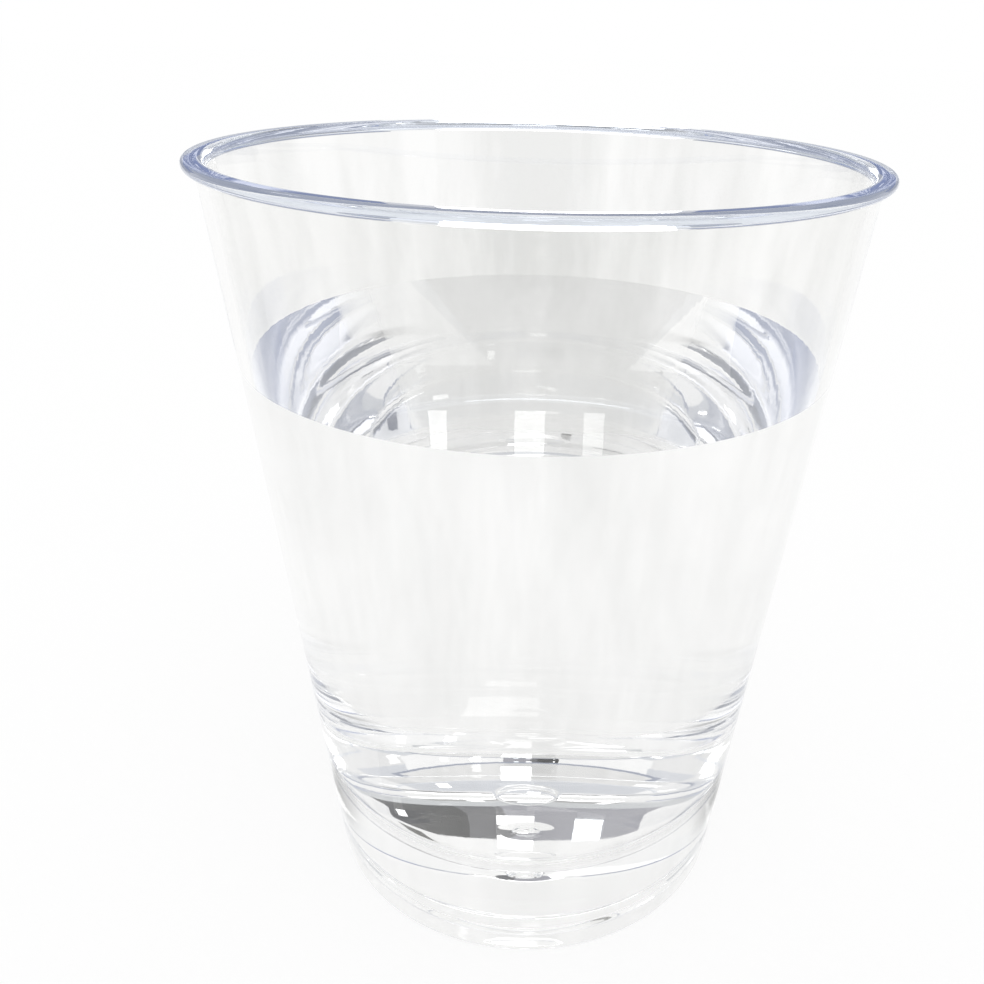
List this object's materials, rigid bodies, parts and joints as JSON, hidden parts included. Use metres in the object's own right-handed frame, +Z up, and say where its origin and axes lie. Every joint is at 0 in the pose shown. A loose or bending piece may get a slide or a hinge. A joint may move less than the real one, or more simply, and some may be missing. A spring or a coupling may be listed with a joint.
{
  "type": "plastic shot glass",
  "caption": "Small clear plastic shot glass with a straight tapered wall, a thin outturned lip and a thick recessed base, part filled with water.",
  "frame": {"origin": "centre of the foot, on the surface the cup stands on", "axes": "+Z up along the axis of the cup, towards the lip"},
  "size_m": [0.048, 0.048, 0.0598],
  "materials": {
    "clear_plastic": "polished, clear and colourless",
    "clear_water": "clear, still water"
  },
  "bodies": {
    "root": {"cup": "clear_plastic", "water": "clear_water"}
  },
  "joints": []
}
